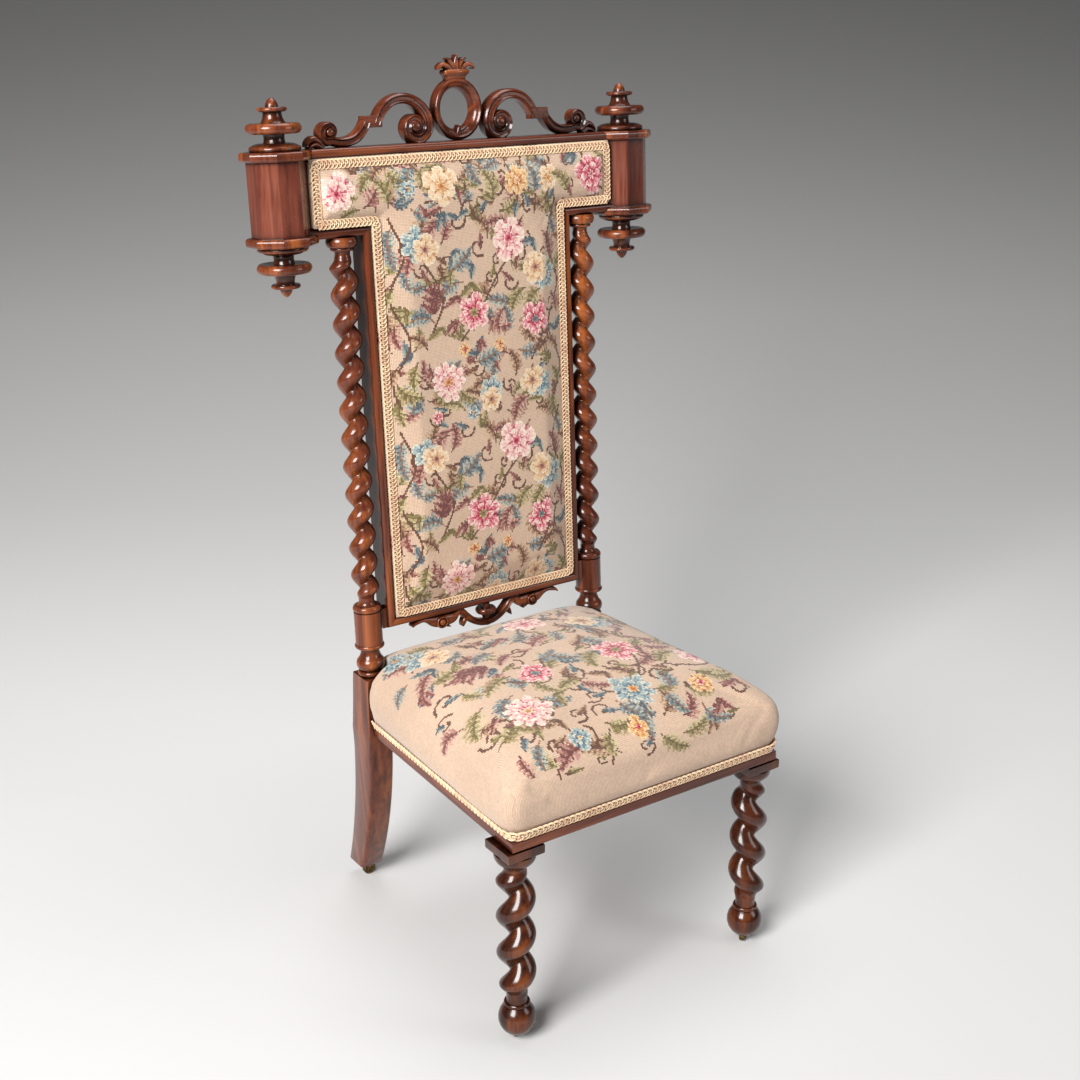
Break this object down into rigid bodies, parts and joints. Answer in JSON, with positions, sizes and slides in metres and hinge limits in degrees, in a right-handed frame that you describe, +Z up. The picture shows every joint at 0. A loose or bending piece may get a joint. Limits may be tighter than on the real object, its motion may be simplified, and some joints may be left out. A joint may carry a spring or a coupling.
{
  "type": "prie-dieu chair",
  "caption": "Low upholstered prayer chair with a tall T-shaped needlework back between twisted columns, carved crest, twisted front legs and brass castors",
  "frame": {"origin": "on the floor, in the middle of the outline seen from above", "axes": "+Z up, -Y to the front where the seat is entered, +X to the right seen from the front"},
  "size_m": [0.57, 0.4727, 1.1012],
  "materials": {
    "polished_wood": "glossy polish",
    "plain_wood": "unfinished",
    "needlework": "wool stitches on canvas",
    "gimp": "braided",
    "webbing": "coarse weave",
    "hessian": "open weave",
    "stuffing": "matted fibre",
    "lining": "plain weave",
    "brass": "aged"
  },
  "bodies": {
    "chair": {"top_rail": "polished_wood", "bottom_rail": "polished_wood", "crest": "polished_wood", "apron": "polished_wood", "apron_bobbin": "polished_wood", "front_seat_rail": "polished_wood", "back_seat_rail": "polished_wood", "left_back_upright": "polished_wood", "front_left_leg": "polished_wood", "left_octagon_block": "polished_wood", "left_upper_block_cap": "polished_wood", "left_lower_block_cap": "polished_wood", "left_finial": "polished_wood", "left_pendant": "polished_wood", "left_arm_rail": "polished_wood", "left_stile": "polished_wood", "left_spacer_block": "polished_wood", "left_seat_rail": "polished_wood", "right_back_upright": "polished_wood", "front_right_leg": "polished_wood", "right_octagon_block": "polished_wood", "right_upper_block_cap": "polished_wood", "right_lower_block_cap": "polished_wood", "right_finial": "polished_wood", "right_pendant": "polished_wood", "right_arm_rail": "polished_wood", "right_stile": "polished_wood", "right_spacer_block": "polished_wood", "right_seat_rail": "polished_wood", "seat_corner_blocks": "plain_wood", "back_cover": "needlework", "seat_cover": "needlework", "back_gimp": "gimp", "seat_gimp": "gimp", "back_webbing": "webbing", "seat_webbing": "webbing", "back_hessian": "hessian", "seat_hessian": "hessian", "back_stuffing": "stuffing", "seat_stuffing": "stuffing", "back_lining": "lining", "seat_dust_cover": "lining", "front_left_castor_plate": "brass", "front_right_castor_plate": "brass", "rear_left_castor_plate": "brass", "rear_right_castor_plate": "brass"},
    "front_left_swivel": {"front_left_castor_horn": "brass", "front_left_castor_axle": "brass"},
    "front_left_wheel": {"front_left_castor_wheel": "brass"},
    "front_right_swivel": {"front_right_castor_horn": "brass", "front_right_castor_axle": "brass"},
    "front_right_wheel": {"front_right_castor_wheel": "brass"},
    "rear_left_swivel": {"rear_left_castor_horn": "brass", "rear_left_castor_axle": "brass"},
    "rear_left_wheel": {"rear_left_castor_wheel": "brass"},
    "rear_right_swivel": {"rear_right_castor_horn": "brass", "rear_right_castor_axle": "brass"},
    "rear_right_wheel": {"rear_right_castor_wheel": "brass"}
  },
  "joints": [
    {"name": "front_left_castor_swivel", "type": "hinge", "parent": "chair", "child": "front_left_swivel", "pos_m": [-0.1778, -0.2046, 0.02], "axis": [0, 0, 1], "continuous": true},
    {"name": "front_left_wheel_spin", "type": "hinge", "parent": "front_left_swivel", "child": "front_left_wheel", "pos_m": [-0.1778, -0.2006, 0.009], "axis": [-1, 0, 0], "continuous": true},
    {"name": "front_right_castor_swivel", "type": "hinge", "parent": "chair", "child": "front_right_swivel", "pos_m": [0.1778, -0.2046, 0.02], "axis": [0, 0, 1], "continuous": true},
    {"name": "front_right_wheel_spin", "type": "hinge", "parent": "front_right_swivel", "child": "front_right_wheel", "pos_m": [0.17452, -0.20689, 0.009], "axis": [0.5736, -0.8192, 0], "continuous": true},
    {"name": "rear_left_castor_swivel", "type": "hinge", "parent": "chair", "child": "rear_left_swivel", "pos_m": [-0.1533, 0.2175, 0.02], "axis": [0, 0, 1], "continuous": true},
    {"name": "rear_left_wheel_spin", "type": "hinge", "parent": "rear_left_swivel", "child": "rear_left_wheel", "pos_m": [-0.1493, 0.2175, 0.009], "axis": [0, 1, 0], "continuous": true},
    {"name": "rear_right_castor_swivel", "type": "hinge", "parent": "chair", "child": "rear_right_swivel", "pos_m": [0.1533, 0.2175, 0.02], "axis": [0, 0, 1], "continuous": true},
    {"name": "rear_right_wheel_spin", "type": "hinge", "parent": "rear_right_swivel", "child": "rear_right_wheel", "pos_m": [0.15706, 0.21887, 0.009], "axis": [-0.342, 0.9397, 0], "continuous": true}
  ]
}
